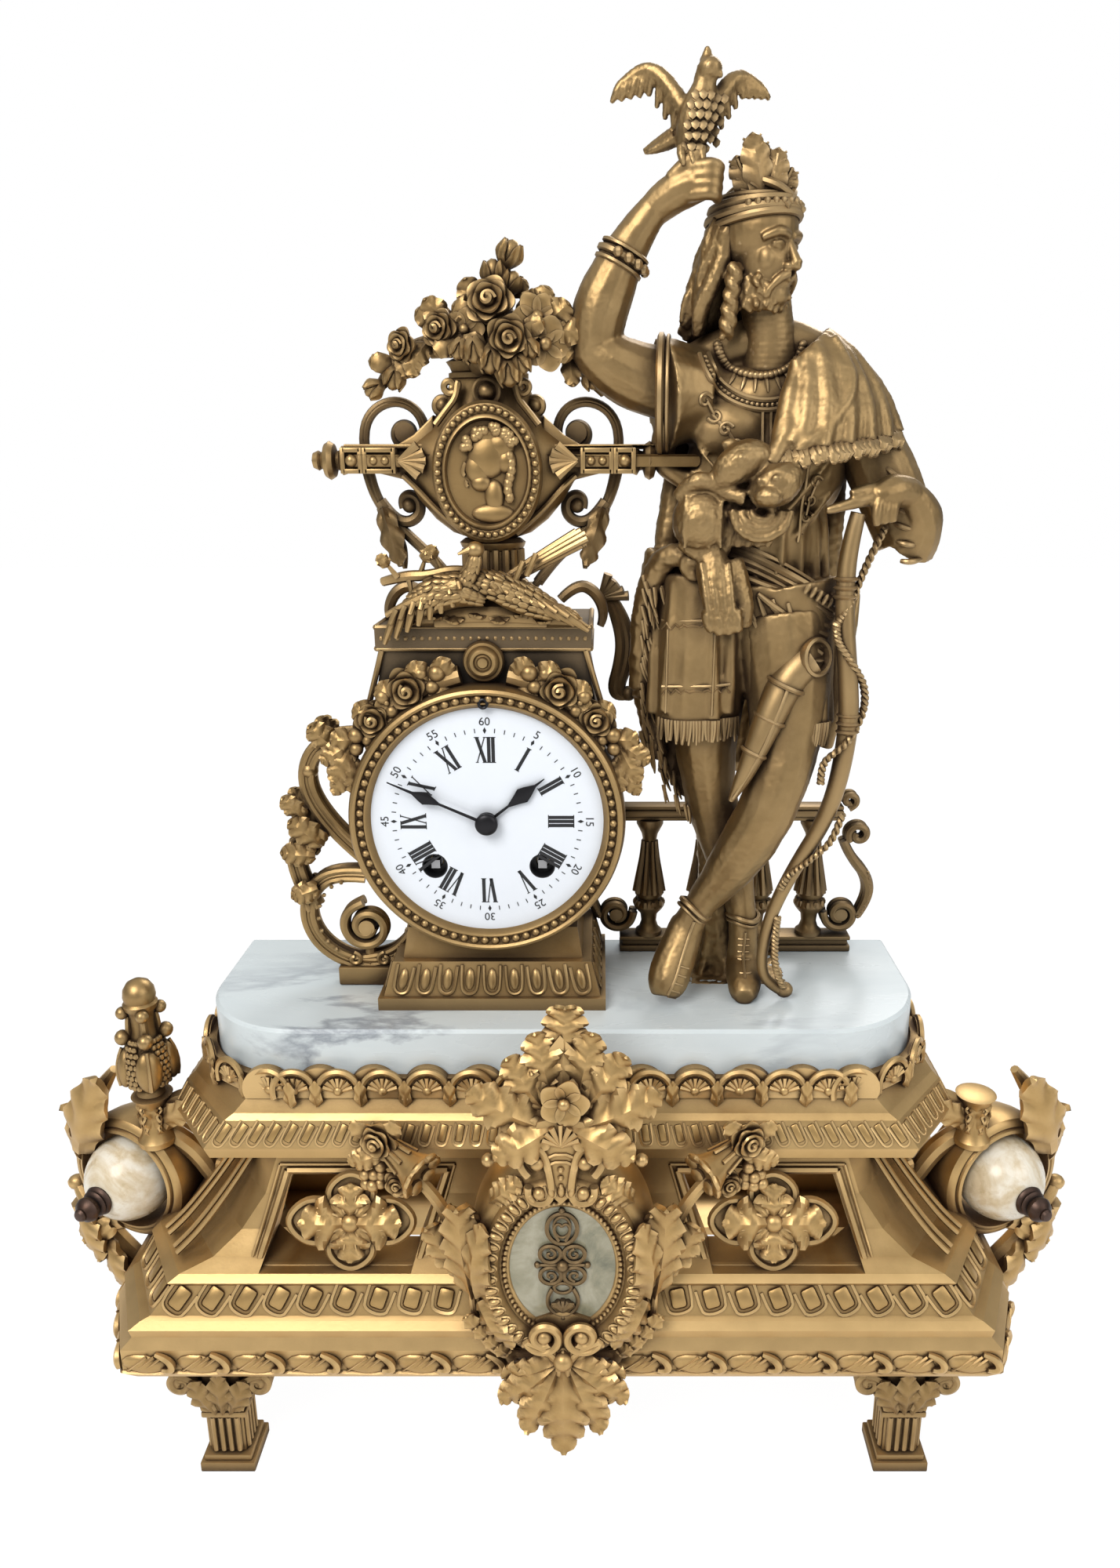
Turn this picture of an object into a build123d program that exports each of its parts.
"""A gilt figural mantel clock: pierced base, marble slab, drum clock with urn, and a standing falconer.

Millimetres. +Z is up, the dial faces -Y and +X is to the right of the dial's viewer. The origin lies under
the middle of the whole clock, at the height of the surface that its feet stand on.
"""
from build123d import *
import math
import os

os.makedirs("parts", exist_ok=True)

# Overall sizes
half_depth = 62.0
foot_height = 56.0
casting_height = 108.0
slab_ledge = 6.0
slab_thickness = 20.0
slab_top = foot_height + casting_height + slab_ledge + slab_thickness
casting_top = foot_height + casting_height
overrun = 5.0
running_gap = 0.05
loose_gap = 0.3

# Feet
foot_x = 136.0
foot_front_y = -30.0
foot_rear_y = 46.0
foot_pad_width = 22.0
foot_pad_depth = 20.0
foot_pad_height = 7.0
foot_shaft_width = 15.0
foot_shaft_height = 19.0
foot_neck_width = 26.0
foot_neck_height = 4.0
foot_capital_low = 28.0
foot_capital_width = 40.0
foot_abacus_height = 6.0
foot_volute_radius = 6.5
foot_volute_bite = 0.9
foot_volute_span = 29.0

# Base casting: the plan is a rectangle with its two front corners canted
rim_half_front = 167.0
rim_half_end = 180.0
rim_front = 50.0
rim_cant = 20.0
inset_front = 41.0
inset_end = 30.0
inset_depth = 20.0
casting_wall = 4.0
cant_wall_share = 0.6
casting_flange = 4.0
flange_width = 30.0
casting_top_plate = 6.0
window_low = 96.0
window_high = 129.0
window_inner_low = 57.5
window_outer_low = 115.5
window_inner_high = 46.0
window_outer_high = 104.4
rear_window_half = 118.0
rear_window_low = 70.0
rear_window_high = 146.0
# Each level of the casting: its share of the height, and its share of the full inset
casting_level_shares = (
    (0.00, 0.10), (0.03, 0.00), (0.13, 0.00), (0.17, 0.10), (0.20, 0.08), (0.225, 0.18), (0.235, 0.26),
    (0.33, 0.46), (0.345, 0.42), (0.37, 0.52), (0.40, 0.80), (0.48, 1.05), (0.60, 1.27), (0.73, 1.38),
    (0.775, 1.38), (0.80, 0.86), (0.84, 0.82), (0.93, 1.00), (0.95, 1.08), (1.00, 1.20),
)
lower_cavity_share = 0.46
upper_cavity_share = 1.38

# Window rosettes
rosette_x = 80.8
rosette_y = -28.5
rosette_z = 112.5
rosette_tilt = 17.0
rosette_lobe_radius = 8.0
rosette_half_width = 25.0
rosette_half_height = 19.0
rosette_plate = 3.5
rosette_leaf_rise = 2.0
rosette_boss_radius = 3.2

# Slab and the scalloped gallery round it
slab_half_width = 139.5
slab_front = 23.0
slab_back = 59.0
slab_corner = 40.0
slab_chamfer = 1.2
gallery_lip = 4.0
gallery_seat = 9.0
gallery_wall = 3.0
gallery_wall_height = 2.5
scallop_radius = 9.0
scallop_pitch = 20.0
scallop_count = 12
scallop_drop = 2.2

# Cartouche on the front of the base
cartouche_x = 1.0
cartouche_z = 114.0
oval_half_width = 34.5
oval_half_height = 46.0
oval_rim_half_width = 28.0
oval_rim_half_height = 37.5
oval_back = 38.0
oval_body_front = 57.0
plaque_half_width = 19.0
plaque_half_height = 26.5
plaque_rebate = 2.0
plaque_thickness = 3.0
crest_half_width = 35.0
crest_height = 58.0
crest_thickness = 6.0
crest_tilt = 12.0
crest_foot_z = 158.0
crest_front = 58.0
pendant_half_width = 22.0
pendant_height = 42.0
pendant_top_z = 74.0
pendant_thickness = 8.0
pendant_front = 61.0
# Right-hand outline of the crest leaf: shares of its half width and of its height, from the foot upwards
crest_outline_shares = (
    (0.00, -0.22), (0.34, -0.20), (0.70, -0.12), (0.72, -0.02), (0.48, 0.04), (0.20, 0.14), (0.26, 0.26),
    (0.62, 0.36), (1.00, 0.40), (0.96, 0.52), (0.66, 0.60), (0.60, 0.72), (0.32, 0.68), (0.28, 0.84),
    (0.16, 0.80), (0.18, 0.94), (0.00, 1.00),
)
# Right-hand outline of the pendant leaf: shares of its half width and height, from the top downwards
pendant_outline_shares = (
    (0.00, 0.00), (1.60, 0.06), (1.30, 0.30), (0.95, 0.36), (0.70, 0.58), (0.42, 0.54), (0.34, 0.80),
    (0.00, 1.00),
)

# Filigree laid on the plaque
filigree_half_width = 9.0
filigree_half_height = 18.0
filigree_wire = 1.1
filigree_rise = 1.6
# Each ring of the filigree: shares of its half width and half height for the centre, and of its half width
filigree_ring_shares = (
    (0.00, 0.62, 0.50), (0.00, -0.62, 0.50), (0.48, 0.20, 0.34), (-0.48, 0.20, 0.34),
    (0.48, -0.18, 0.34), (-0.48, -0.18, 0.34), (0.00, 0.00, 0.26),
)

# Flower sprays beside the oval
spray_reach_x = 38.0
spray_rise = 52.0
spray_root_x = 36.0
spray_root_z = 110.0
spray_front = 50.0
spray_bud_radius = 7.0
# Points of the spray's stem and leaves: shares of reach, rise and bud radius
spray_stem_shares = ((0.00, 0.00, 0.60), (0.12, 0.45, 0.75), (0.30, 0.62, 0.55), (0.62, 0.82, 0.60))
spray_bud_shares = ((0.55, 1.00, 0.85), (0.78, 1.08, 0.90), (0.95, 0.96, 0.80), (0.72, 0.86, 0.85))
spray_trumpet_length = 13.0
spray_trumpet_radius = 8.0

# End brackets with their stone balls
bracket_x = 180.0
bracket_y = 6.0
bracket_z = 108.0
bracket_turn = 20.0
ring_outer = 25.5
ring_inner = 19.6
ring_front = 5.0
ball_radius = 17.8
ball_forward = 2.0
ball_hole = 2.2
cup_floor = 2.5
bracket_arm = 5.0
bracket_leaf_thickness = 7.0
bracket_leaf_reach = 36.0
bracket_drop = 48.0
bracket_rise = 52.0
calyx_offset = 15.0
calyx_low = 20.0
calyx_top = 41.0
calyx_radius = 7.0
calyx_waist = 4.0
# Outline of the leaf over the ring: shares of the ring's radius and of the rise
upper_leaf_shares = (
    (0.90, 0.28), (0.95, 0.50), (0.62, 0.62), (0.55, 0.80), (0.20, 1.00), (0.02, 0.80), (-0.10, 0.56),
    (0.20, 0.45),
)
# Outline of the horn and leaf under the ring: shares of the reach and of the drop
lower_leaf_shares = (
    (0.62, -0.20), (0.98, -0.38), (1.00, -0.46), (0.76, -0.58), (0.62, -0.82), (0.30, -1.00), (-0.10, -1.00),
    (-0.10, -0.50), (0.10, -0.46),
)
# Points of the scroll that runs from the ring to the cornice, then of the arm under the calyx
scroll_arm_shares = ((-0.30, 0.48), (-0.72, 0.24), (-0.96, 0.06))
cornice_arm_shares = ((-0.42, 0.64), (-0.66, 0.66), (-1.10, 0.62))
finial_neck = 3.0
finial_bulb = 5.5
finial_length = 11.0
finial_nut = 4.0
finial_nut_height = 2.5

# Torch finial of the left bracket
torch_height = 50.0
torch_radius = 13.0
# Profile of the torch: shares of its radius and of its height
torch_profile_shares = (
    (0.00, 0.00), (0.50, 0.00), (0.36, 0.08), (0.70, 0.14), (1.00, 0.30), (0.80, 0.42), (0.42, 0.50),
    (0.55, 0.58), (0.34, 0.68), (0.52, 0.80), (0.48, 0.92), (0.26, 0.98), (0.00, 1.00),
)

# Clock axis and case
clock_x = -27.0
clock_z = 265.5
drum_outer = 48.5
drum_inner = 46.2
drum_front = -2.0
drum_back = -50.0
shoulder_half_top = 36.0
shoulder_half_low = 50.0
shoulder_low = 18.0
shoulder_top = 63.0
cap_half = 38.5
cap_height = 8.0
cap_overhang = 1.5
pendulum_level = -38.5
slot_depth = 8.0

# Plinth under the drum
plinth_half_width = 43.7
plinth_front = 7.3
plinth_back = 53.0
plinth_slab = 5.0
plinth_band = 13.0
plinth_top = 30.0
plinth_band_inset = 5.5
plinth_neck_inset = 9.0
plinth_step = 2.0
plinth_wall = 4.0

# Bezel and dial
bezel_outer = 51.0
bezel_bore = 42.8
bezel_seat = 0.8
bezel_rebate = 43.6
bezel_front = 8.0
bezel_groove = 46.6
bezel_groove_radius = 2.0
dial_radius = 43.4
dial_front = 4.0
dial_thickness = 1.6
dial_centre_hole = 3.3
winding_hole = 4.8
dial_foot_radius = 1.2
dial_foot_circle = 38.0

# Regulator arbor above the dial
regulator_up = 44.8
regulator_radius = 0.8
regulator_hole = 1.3
regulator_collar = 1.05
regulator_lug = 2.6

# Mount with roses over the bezel
garland_back = -2.0
garland_thickness = 6.5
garland_gap = 0.4
garland_half_width = 53.0
garland_top = 63.0
garland_rose_radius = 8.0
garland_rosette_radius = 7.4
# Right-hand outline of the mount: shares of its half width and of its top
garland_outline_shares = (
    (0.00, 1.00), (0.68, 1.00), (0.72, 0.84), (0.86, 0.74), (0.93, 0.58), (1.00, 0.44), (0.98, 0.26),
    (0.90, 0.24), (0.60, 0.20), (0.00, 0.20),
)
garland_rose_shares = ((0.66, 0.74), (-0.64, 0.74), (0.84, 0.62), (-0.86, 0.58))

# Rear door, hung on a pin at the left side of the drum
door_radius = 47.0
door_thickness = 1.8
door_knob_radius = 3.0
door_knob_height = 5.0
door_slot_half = 9.0
hinge_offset = 51.2
hinge_radius = 2.2
hinge_pin = 1.0
hinge_knuckle = 5.0
hinge_ear = 4.0
door_ring_hole = 30.0
door_ring_holes = 12
door_grille = 1.2

# Movement plates
plate_radius = 41.0
plate_thickness = 2.0
front_plate_front = -4.0
back_plate_front = -32.0
pillar_radius = 2.2
pillar_foot = 3.2
pillar_circle = 37.0
pillar_angles = (62.0, 118.0, 190.0, 270.0, 350.0)
plate_lug_width = 8.0
plate_lug_gap = 0.1
plate_lug_angles = (30.0, 150.0, 225.0, 315.0)

# Toothed wheels: module, tooth numbers and faces
wheel_tooth_shares = (0.75, 1.15, 0.26, 0.20, 0.09)
pinion_tooth_shares = (0.65, 1.25, 0.17, 0.18, 0.09)
motion_module = 0.50
cannon_teeth = 12
minute_teeth = 36
hour_module = 0.48
minute_pinion_teeth = 10
hour_teeth = 40
barrel_module = 0.40
barrel_teeth = 72
second_pinion_teeth = 12
second_module = 0.35
second_teeth = 66
centre_pinion_teeth = 12
centre_module = 0.35
centre_teeth = 66
third_pinion_teeth = 12
third_module = 0.30
third_teeth = 60
wheel_face = 1.2
pinion_face = 2.6
arbor_radius = 1.1
pivot_radius = 0.6
cannon_radius = 1.9
hour_pipe_radius = 2.75
minute_sleeve_radius = 1.6
spoke_count = 5

# Places of the wheels on their arbors, measured forward of the drum's mouth
cannon_level = -3.6
minute_pinion_level = -2.0
barrel_front = -10.0
barrel_length = 12.0
barrel_radius = 13.4
second_wheel_level = -25.2
centre_wheel_level = -30.4
third_wheel_level = -14.2
escape_wheel_level = -29.0
minute_arbor_angle = 62.0
third_arbor_angle = 100.0

# Winding arbors
winding_x = 20.0
winding_down = 17.5
winding_radius = 2.2
winding_square = 3.2
winding_reach = 2.0

# Escapement, pendulum, bell and hammer
escape_up = 27.5
escape_radius = 7.2
escape_teeth = 24
escape_face = 1.0
escape_root_share = 0.80
anchor_up = 37.0
anchor_span = 6.4
anchor_thickness = 2.0
anchor_width = 1.6
crutch_length = 24.0
crutch_front = -34.7
crutch_thickness = 1.2
crutch_fork_gap = 0.4
suspension_pin = 0.8
suspension_eye = 2.4
cock_width = 6.0
cock_back = -41.5
rod_radius = 1.0
rod_length = 166.0
bob_radius = 16.0
bob_half_thickness = 4.5
rating_nut = 3.0
swing = 4.0
bell_x = 16.0
bell_down = 4.0
bell_radius = 24.0
bell_mouth = -41.0
bell_depth = 8.0
bell_wall = 1.0
bell_post = 1.5
bell_nut = 3.0
hammer_x = -11.7
hammer_up = 20.0
hammer_head = 3.0
hammer_head_length = 5.0
hammer_level = -45.5
hammer_stem = 0.8
hammer_boss = 2.0

# Hands
minute_hand_length = 39.0
hour_hand_length = 27.0
minute_hand_angle = 294.0
hour_hand_angle = 52.0
hand_thickness = 0.6
hour_hand_level = 5.0
minute_hand_level = 6.9
hand_stem_half = 0.55
minute_pear_radius = 2.3
hour_pear_radius = 2.9
pear_place_share = 0.62
collet_radius = 4.2
collet_height = 1.8

# Urn over the clock
urn_x = -24.0
urn_y = 16.0
urn_socle_half = 20.0
urn_socle_depth = 18.0
urn_socle_height = 13.0
urn_column_half = 12.5
urn_column_height = 16.0
urn_height = 60.0
urn_half_width = 33.0
urn_half_depth = 13.0
urn_arm_half = 55.0
urn_arm_height = 8.0
urn_arm_depth = 7.0
urn_arm_share = 0.46
urn_knob_radius = 7.0
urn_knob_tip = 3.2
urn_knob_length = 3.0
# Levels of the urn: shares of its height, half width and half depth
urn_level_shares = (
    (0.00, 0.32, 0.62), (0.10, 0.46, 0.74), (0.28, 0.80, 0.94), (0.46, 1.00, 1.00), (0.62, 0.74, 0.86),
    (0.76, 0.44, 0.70), (0.86, 0.40, 0.66), (0.95, 0.54, 0.80), (1.00, 0.58, 0.84),
)

# Scroll frame behind the urn
frame_y = 21.0
frame_bar = 2.2
frame_half_span = 49.0
frame_height = 110.0
frame_foot_z = 304.0
# Points of each run of the right-hand scrolls: shares of the half span and of the frame's height
frame_run_shares = (
    ((0.98, 0.02), (1.06, 0.12), (0.96, 0.27), (0.80, 0.36), (0.66, 0.42), (0.56, 0.50), (0.62, 0.58)),
    ((0.62, 0.58), (0.86, 0.64), (1.02, 0.72), (1.06, 0.80), (1.06, 0.90), (0.90, 0.99), (0.68, 0.96),
     (0.62, 0.86)),
    ((0.84, 0.64), (0.80, 0.48)),
    ((0.66, 0.42), (0.40, 0.34)),
)
shell_radius = 7.0
shell_share = (0.84, 0.40)

# Medallion on the urn
medallion_half_width = 18.5
medallion_half_height = 23.0
medallion_z = 389.0
medallion_thickness = 4.0
medallion_rim = 3.4
medallion_rim_rise = 1.6
cameo_half_width = 7.5
cameo_half_height = 11.0

# Bouquet in the urn
bouquet_half_width = 42.0
bouquet_height = 50.0
bouquet_foot_z = 414.0
bouquet_y = 12.0
bouquet_flower = 9.0
bouquet_string = 3.1
# Profile of a flower's head: shares of its radius across, and along towards the front
bouquet_head_shares = (
    (0.00, -0.80), (0.62, -0.80), (1.00, -0.25), (1.00, 0.20), (0.72, 0.74), (0.30, 0.92), (0.00, 0.92),
)
bouquet_shift = 2.0
bouquet_string_shares = ((0.00, 0.16), (0.72, 0.07), (0.96, -0.17))
bouquet_stalk_shares = ((0.01, 0.02), (0.22, 0.92))
# Flowers and leaves: shares of half width, height and flower radius, and of flower radius for the depth
bouquet_flower_shares = (
    (0.00, 0.18, -0.60, 1.00), (-0.30, 0.20, 0.00, 0.95), (0.30, 0.22, 0.00, 0.95), (-0.06, 0.40, -0.40, 0.95),
    (0.36, 0.40, 0.00, 0.85), (-0.52, 0.16, 0.00, 0.80), (0.56, 0.14, 0.00, 0.80), (-0.72, 0.06, 0.00, 0.62),
    (0.74, 0.06, 0.00, 0.62), (-0.86, -0.06, 0.00, 0.50), (0.86, -0.06, 0.00, 0.50), (-0.96, -0.18, 0.00, 0.46),
    (0.96, -0.18, 0.00, 0.46), (-0.34, 0.42, 0.00, 0.60), (0.10, 0.60, 0.00, 0.62), (0.16, 0.76, 0.00, 0.46),
    (0.22, 0.90, 0.00, 0.42), (0.10, -0.06, -0.80, 0.55), (-0.24, 0.00, -0.70, 0.60), (0.34, 0.02, -0.50, 0.60),
)

# Game laid in front of the urn
game_half_width = 34.0
game_height = 26.0
game_back = 2.6
game_front = -4.6
game_bird_front = -8.2
game_branch_inset = 1.0
# Outlines of the pile, its branch and its front bird: shares of half width and height
game_pile_shares = (
    (-0.98, 0.00), (0.96, 0.00), (0.92, 0.20), (0.54, 0.42), (0.30, 0.64), (-0.28, 0.80), (-0.64, 0.68),
    (-0.98, 0.52), (-1.02, 0.18),
)
game_branch_shares = ((0.00, 0.48), (0.40, 0.50), (0.90, 0.92), (0.84, 1.12), (0.40, 0.96), (0.00, 0.72))
game_bird_shares = ((-0.92, 0.06), (0.10, 0.12), (0.48, 0.30), (0.10, 0.58), (-0.44, 0.70), (-0.90, 0.40))

# Scroll at the left of the drum
side_y = 18.0
side_bar = 3.2
side_half_width = 23.0
side_height = 101.0
side_foot_half = 12.5
side_foot_height = 8.0
side_foot_depth = 9.0
side_x = -78.0
# Runs of the side scroll: shares of its half width and height
side_run_shares = (
    ((0.35, 0.06), (-0.20, 0.07), (-0.75, 0.15), (-1.00, 0.28), (-0.90, 0.40), (-0.50, 0.46), (0.10, 0.44)),
    ((0.00, 0.06), (0.00, 0.16)),
    ((0.80, 0.22), (0.60, 0.12), (0.10, 0.05)),
    ((-0.95, 0.30), (-1.15, 0.46), (-1.15, 0.56), (-0.90, 0.62), (-0.62, 0.60)),
    ((0.30, 0.46), (-0.30, 0.60), (-0.78, 0.74), (-0.80, 0.88), (-0.45, 0.97), (0.05, 1.00), (0.50, 1.04)),
)
side_volute_share = (0.00, 0.24)
side_volute_radius = 9.0

# Figure: heights and breadths follow the standing height from slab to hair
figure_height = 290.0
figure_x = 62.0
figure_y = 10.0
# Points of each limb: shares of the height for x, y, z and radius, from the spot between the feet
crossing_leg_shares = (
    (0.040, 0.000, 0.470, 0.058), (0.064, -0.024, 0.335, 0.042), (0.022, -0.016, 0.235, 0.034),
    (-0.028, -0.006, 0.120, 0.020), (-0.044, 0.000, 0.062, 0.021), (-0.068, -0.018, 0.018, 0.016),
)
standing_leg_shares = (
    (0.000, 0.030, 0.470, 0.058), (-0.006, 0.040, 0.310, 0.042), (0.000, 0.046, 0.225, 0.035),
    (0.010, 0.034, 0.120, 0.021), (0.016, 0.034, 0.036, 0.022), (0.028, -0.012, 0.016, 0.016),
)
left_arm_shares = (
    (0.118, 0.024, 0.788, 0.036), (0.204, 0.006, 0.600, 0.028), (0.186, -0.024, 0.650, 0.019),
    (0.150, -0.048, 0.660, 0.020),
)
right_arm_shares = (
    (-0.060, 0.014, 0.800, 0.036), (-0.160, 0.000, 0.826, 0.029), (-0.136, -0.014, 0.912, 0.022),
    (-0.118, -0.026, 0.942, 0.018), (-0.070, -0.040, 0.985, 0.018),
)
stump_shares = ((0.012, 0.080, 0.000, 0.044), (0.012, 0.080, 0.380, 0.026))
# Levels of the dressed body: shares of the height for z, x, y, half width and half depth
body_level_shares = (
    (0.355, 0.016, 0.012, 0.104, 0.066), (0.430, 0.018, 0.012, 0.116, 0.072), (0.500, 0.018, 0.014, 0.118, 0.072),
    (0.605, 0.036, 0.018, 0.096, 0.056), (0.690, 0.040, 0.016, 0.104, 0.066), (0.760, 0.040, 0.018, 0.106, 0.060),
    (0.812, 0.036, 0.020, 0.082, 0.040), (0.835, 0.032, 0.020, 0.036, 0.030), (0.872, 0.026, 0.012, 0.030, 0.030),
)
cape_level_shares = (
    (0.250, -0.066, 0.066, 0.032, 0.014), (0.360, -0.060, 0.066, 0.062, 0.022), (0.480, -0.030, 0.072, 0.110, 0.030),
    (0.620, 0.010, 0.074, 0.130, 0.032), (0.780, 0.036, 0.064, 0.112, 0.030),
)
head_shares = (0.010, -0.002, 0.932)
head_radius_share = 0.046
head_tall_share = 1.30
hair_knot_shares = (-0.034, 0.018, 0.900, 0.034)
feather_shares = ((-0.010, 0.000, 0.985, 0.016), (0.020, 0.000, 1.030, 0.012), (0.044, 0.000, 1.010, 0.008))
fringe_band_share = 0.030
toe_flat = 0.5

# Hunting bird on the raised hand
bird_span = 46.0
# Runs of the bird: shares of its span from the middle of its body
bird_run_shares = (
    ((-0.34, 0.16, -0.14, 0.07), (-0.14, 0.04, -0.06, 0.14), (0.00, 0.00, 0.02, 0.18), (0.08, 0.00, 0.20, 0.13),
     (0.12, 0.00, 0.30, 0.10)),
    ((-0.02, 0.04, 0.06, 0.10), (-0.26, 0.14, 0.20, 0.07), (-0.48, 0.20, 0.26, 0.04)),
    ((0.04, 0.04, 0.06, 0.10), (0.30, 0.10, 0.16, 0.07), (0.48, 0.12, 0.24, 0.04)),
    ((0.00, 0.00, -0.10, 0.07), (0.00, 0.00, -0.42, 0.06)),
)
bird_lift_share = 0.44

# Bow held down at the figure's left side
bow_length = 194.0
bow_radius = 2.2
# Points of the bow: shares of its length from its foot on the slab
bow_shares = (
    (0.000, 0.000, 0.010), (-0.030, 0.010, 0.070), (-0.018, 0.000, 0.150), (0.020, -0.010, 0.250),
    (0.080, -0.020, 0.380), (0.096, -0.036, 0.540), (0.086, -0.056, 0.690), (0.080, -0.060, 0.820),
    (0.092, -0.062, 0.960),
)
bow_foot_x = 85.0
bow_foot_y = 2.0

# Balustrade behind the figure
rail_y = 50.0
rail_left = 24.0
rail_right = 120.0
rail_depth = 8.0
rail_foot_height = 7.0
rail_top = 65.0
rail_thickness = 6.0
baluster_count = 4
baluster_radius = 5.4
# Profile of a baluster: shares of its radius and height
baluster_shares = (
    (0.00, 0.00), (0.90, 0.00), (0.90, 0.06), (0.50, 0.10), (0.45, 0.22), (0.80, 0.28), (1.00, 0.40),
    (0.70, 0.56), (0.40, 0.80), (0.75, 0.90), (0.85, 1.00), (0.00, 1.00),
)
rail_scroll_radius = 2.6
rail_scroll_reach = 11.0
rail_scroll_shares = ((0.10, 0.92), (0.60, 0.80), (0.30, 0.62), (0.80, 0.44), (1.00, 0.28), (0.40, 0.14))

# Fasteners
stud_radius = 2.4
stud_clearance = 0.3
stud_depth = 12.0
nut_half = 4.2
nut_height = 3.6
tie_radius = 2.0
tie_overlap = 8.0
tie_places = ((-55.0, 14.0), (1.0, 14.0), (60.0, 40.0), (112.0, 50.0))


def fused(shapes):
    """One part from a list of shapes."""
    return Part() + shapes


def between(start, end):
    """Plane at start whose normal points to end."""
    return Plane(origin=start, z_dir=Vector(*end) - Vector(*start))


def rod(start, end, radius, end_radius=None):
    """Round bar from start to end, tapered if a second radius is given."""
    length = (Vector(*end) - Vector(*start)).length
    low = (Align.CENTER, Align.CENTER, Align.MIN)
    if end_radius is None or abs(end_radius - radius) < running_gap * running_gap:
        return between(start, end) * Cylinder(radius, length, align=low)
    return between(start, end) * Cone(radius, end_radius, length, align=low)


def limb(points, radii, knuckle=1.0):
    """Rounded chain of tapered bars through the points; knuckle is how much fuller its joints are."""
    pieces = [Pos(*place) * Sphere(radius * knuckle) for place, radius in zip(points, radii)]
    for index in range(len(points) - 1):
        pieces.append(rod(points[index], points[index + 1], radii[index], radii[index + 1]))
    return fused(pieces)


def share_limb(rows, size, origin, thickness=None):
    """Limb whose rows hold shares of one size for x, y, z and radius."""
    points = [tuple(o + size * s for o, s in zip(origin, row[:3])) for row in rows]
    return limb(points, [(thickness or size) * row[3] for row in rows])


def block(x0, x1, y0, y1, z0, z1):
    """Box between two corners."""
    low = (Align.MIN, Align.MIN, Align.MIN)
    return Pos(x0, y0, z0) * Box(x1 - x0, y1 - y0, z1 - z0, align=low)


def polygon(points):
    """Face inside a closed outline."""
    return make_face(Polyline(*points, close=True))


def front_plate_shape(points, back_y, front_y):
    """Outline in X and Z made solid from back_y forward to front_y."""
    return Pos(0, back_y, 0) * extrude(Plane.XZ * polygon(points), back_y - front_y)


def mirrored_outline(shares, half_width, height, foot_x_place, foot_z):
    """Both halves of an outline given by its right-hand side."""
    right = [(foot_x_place + half_width * a, foot_z + height * b) for a, b in shares]
    left = [(foot_x_place - half_width * a, foot_z + height * b) for a, b in shares]
    return right + left[-2:0:-1]


def turned(profile):
    """Solid of revolution about Z from radius and height pairs."""
    return revolve(Plane.XZ * polygon(profile), Axis.Z)


def share_profile(shares, radius, height):
    """Profile in real sizes from shares of a radius and a height."""
    return [(radius * a, height * b) for a, b in shares]


def stacked(levels, ruled=False):
    """Loft through ellipses: z, x, y, half width and half depth of each."""
    return loft([Pos(x, y, z) * Ellipse(a, b) for z, x, y, a, b in levels], ruled=ruled)


def share_stack(rows, size, origin, ruled=False):
    """Stacked ellipses whose rows hold shares of one size."""
    levels = [
        (origin[2] + size * z, origin[0] + size * x, origin[1] + size * y, size * a, size * b)
        for z, x, y, a, b in rows
    ]
    return stacked(levels, ruled)


def clock_frame(shape):
    """Places a shape made in the dial's own frame: x right, y up, z towards the viewer."""
    return Pos(clock_x, 0, clock_z) * Rot(90, 0, 0) * shape


def disc(radius, low, high, x=0, y=0):
    """Round plate in the dial's frame between two levels."""
    base = (Align.CENTER, Align.CENTER, Align.MIN)
    return Pos(x, y, low) * Cylinder(radius, high - low, align=base)


def polar(radius, angle):
    """Place at a radius and an angle in degrees from the dial's right."""
    return radius * math.cos(math.radians(angle)), radius * math.sin(math.radians(angle))


# Base

def make_foot(x, y):
    """Fluted pilaster foot with a volute capital."""
    def layer(width, depth, low, high):
        return block(x - width / 2, x + width / 2, y - depth / 2, y + depth / 2, low, high)

    shaft_top = foot_pad_height + foot_shaft_height
    neck_top = shaft_top + foot_neck_height
    abacus_low = foot_height - foot_abacus_height
    pieces = [
        layer(foot_pad_width, foot_pad_depth, 0, foot_pad_height),
        layer(foot_shaft_width, foot_shaft_width, foot_pad_height, shaft_top),
        layer(foot_neck_width, foot_pad_depth, shaft_top, neck_top),
        layer(foot_capital_width, foot_pad_depth, abacus_low, foot_height),
        loft([
            Pos(x, y, neck_top) * Rectangle(foot_shaft_width, foot_shaft_width),
            Pos(x, y, abacus_low) * Rectangle(foot_capital_low, foot_shaft_width),
        ]),
    ]
    for side in (-1, 1):
        roll_x = x + side * foot_volute_span / 2
        roll_z = abacus_low - foot_volute_radius + foot_volute_bite
        half = foot_pad_depth / 2 - foot_volute_bite
        pieces.append(rod((roll_x, y - half, roll_z), (roll_x, y + half, roll_z), foot_volute_radius))
    hole = rod((x, y, foot_height - stud_depth), (x, y, foot_height + overrun), stud_radius)
    return fused(pieces) - hole


def base_plan(share, wall):
    """Outline of the base at a share of the full inset, drawn in by a wall."""
    half_front = rim_half_front - inset_front * share - wall * cant_wall_share
    half_end = rim_half_end - inset_end * share - wall
    front = rim_front - inset_depth * share - wall
    cant = rim_cant - inset_depth * share
    back = half_depth - wall
    return [
        (-half_front, -front), (half_front, -front), (half_end, -cant),
        (half_end, back), (-half_end, back), (-half_end, -cant),
    ]


def plan_solid(share, wall, low, high):
    """Upright solid on the base's outline."""
    return extrude(Pos(0, 0, low) * polygon(base_plan(share, wall)), high - low)


def tie_holes(radius, low, high):
    """Holes for the rods that hold the clock and the figure down."""
    return [rod((x, y, low), (x, y, high), radius) for x, y in tie_places]


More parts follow.
